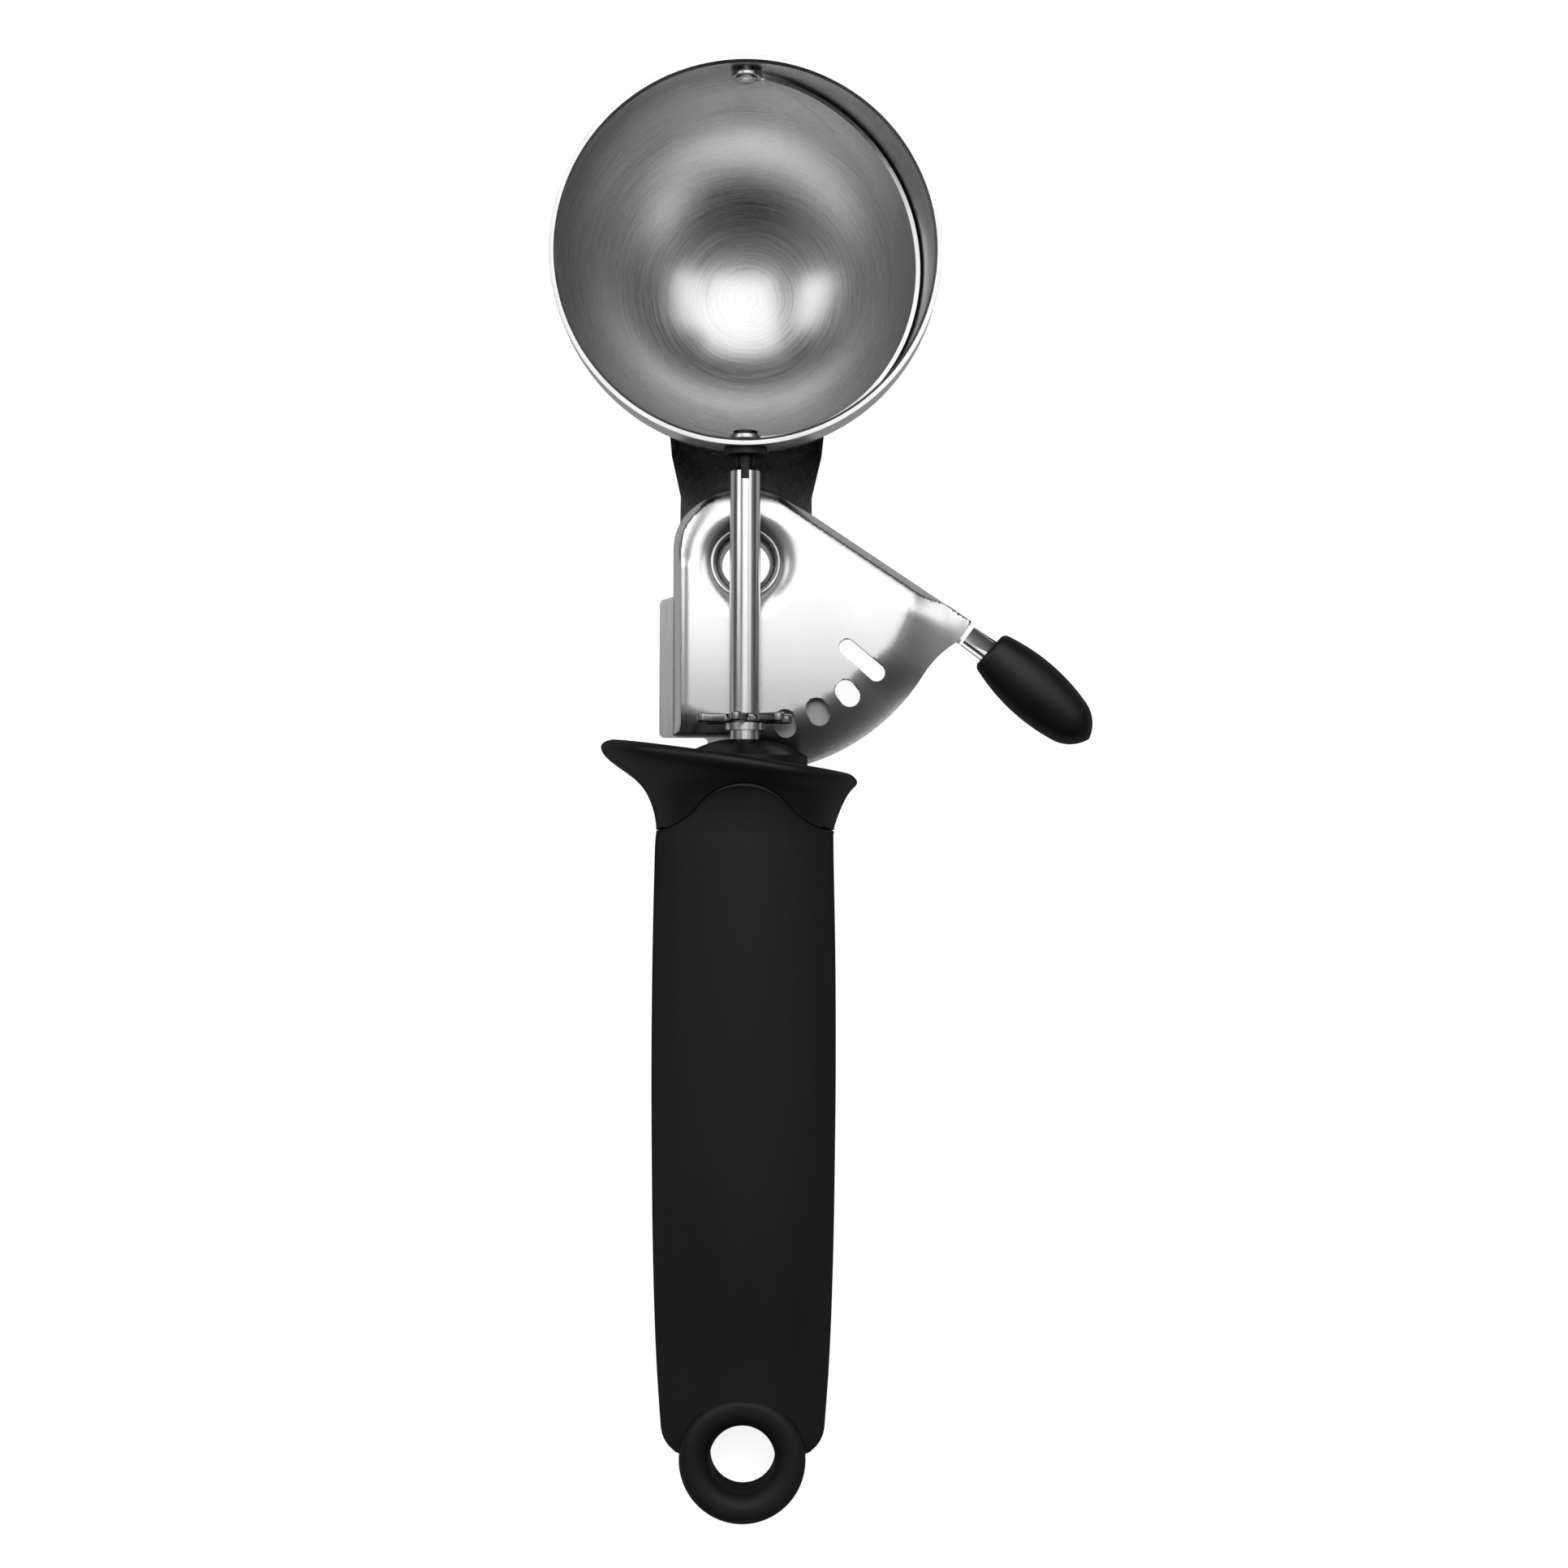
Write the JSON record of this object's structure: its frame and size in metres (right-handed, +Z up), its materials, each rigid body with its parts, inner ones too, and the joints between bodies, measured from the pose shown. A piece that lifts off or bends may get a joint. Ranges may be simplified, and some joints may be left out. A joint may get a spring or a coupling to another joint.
{
  "type": "ice cream scoop",
  "caption": "Ice cream scoop with a round steel bowl, a thumb lever geared to a blade that sweeps the bowl, and a black soft-grip handle with a hanging hole.",
  "frame": {"origin": "centre of the hanging hole, at mid thickness of its ring", "axes": "+Z up with the scoop lying on its bowl and on the edge of its ring, +Y level from the butt towards the bowl, +X towards the thumb lever"},
  "size_m": [0.0856, 0.226, 0.0389],
  "materials": {
    "bowl_steel": "spun and brushed in circles",
    "frame_steel": "bright rolled sheet",
    "lever_steel": "satin stamped sheet",
    "blade_steel": "satin strip with bright cut edges",
    "shaft_steel": "drawn bright bar",
    "pinion_steel": "tumbled",
    "eyelet_steel": "bright formed",
    "spring_wire": "drawn wire",
    "bush_nylon": "moulded",
    "core_plastic": "fine moulded",
    "guard_plastic": "smooth moulded",
    "grip_rubber": "fine matt texture",
    "paddle_rubber": "satin"
  },
  "bodies": {
    "handle": {"bowl": "bowl_steel", "neck_frame": "frame_steel", "blade_pivot_rivet": "blade_steel", "bowl_bush": "bush_nylon", "pivot_eyelet": "eyelet_steel", "pivot_spacer": "eyelet_steel", "handle_core": "core_plastic", "guard_collar": "guard_plastic", "grip_sleeve": "grip_rubber", "bearing_boss": "guard_plastic", "shaft_bush": "bush_nylon", "lower_bush": "bush_nylon", "return_spring": "spring_wire", "frame_pins": "shaft_steel"},
    "lever": {"lever_plate": "lever_steel", "lever_tang": "lever_steel", "thumb_paddle": "paddle_rubber"},
    "drive": {"drive_shaft": "shaft_steel", "star_pinion": "pinion_steel", "pinion_collar": "shaft_steel", "sweep_blade": "blade_steel", "blade_stub": "blade_steel", "shaft_clip": "shaft_steel", "spring_collar": "shaft_steel", "spring_collar_pin": "shaft_steel"}
  },
  "joints": [
    {"name": "lever_press", "type": "hinge", "parent": "handle", "child": "lever", "pos_m": [0, 0.1381, 0.01212], "axis": [0, 0.1304, -0.9915], "range_deg": [0, 30], "stiffness_Nm_per_rad": 0.5, "springref_deg": -34.38},
    {"name": "blade_turn", "type": "hinge", "parent": "handle", "child": "drive", "pos_m": [0, 0.14872, 0.01957], "axis": [0, 0.9915, 0.1304], "range_deg": [0, 150], "deforming": ["return_spring"]}
  ],
  "couplings": [
    {"joint": "blade_turn", "follows": "lever_press", "ratio": 5}
  ]
}
